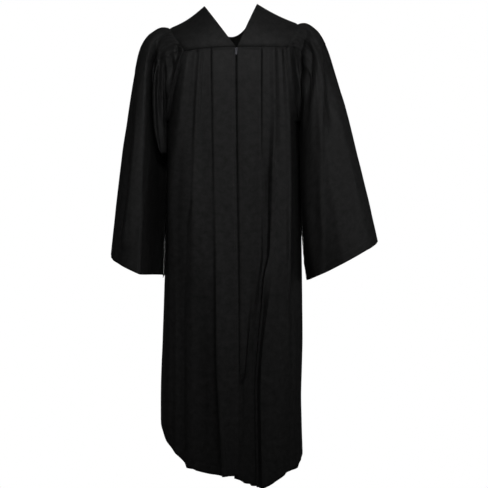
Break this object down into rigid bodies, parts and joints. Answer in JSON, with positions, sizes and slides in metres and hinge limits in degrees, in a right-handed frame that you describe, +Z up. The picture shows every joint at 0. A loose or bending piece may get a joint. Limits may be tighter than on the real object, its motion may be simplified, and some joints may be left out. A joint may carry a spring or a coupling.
{
  "type": "graduation gown",
  "caption": "Full-length black academic gown with a pleated front that zips at the centre, a plain yoke, a V neck and wide bell sleeves gathered at the shoulder, shown as worn.",
  "frame": {"origin": "midway between the two side-neck points, at the height where the shoulders carry the gown", "axes": "+Z up; the front, with the zip, faces -Y; +X is the viewer's right and the wearer's left"},
  "size_m": [0.7679, 0.36, 1.35],
  "materials": {
    "gown_cloth": "matte woven polyester, dyed black",
    "zip_tape": "woven polyester tape, dyed black",
    "zip_metal": "black nickel-plated"
  },
  "bodies": {
    "gown": {"front_right": "gown_cloth", "front_left": "gown_cloth", "back": "gown_cloth", "yoke_front_right": "gown_cloth", "yoke_front_left": "gown_cloth", "yoke_back": "gown_cloth", "sleeve_right": "gown_cloth", "sleeve_left": "gown_cloth", "zip_tape_right": "zip_tape", "zip_tape_left": "zip_tape", "zip_slider": "zip_metal"},
    "zip_pull": {"zip_pull": "zip_metal"}
  },
  "joints": [
    {"name": "zip_pull_swing", "type": "hinge", "parent": "gown", "child": "zip_pull", "pos_m": [0.006, -0.10027, -0.12643], "axis": [-1, 0, 0], "range_deg": [0, 170]}
  ]
}
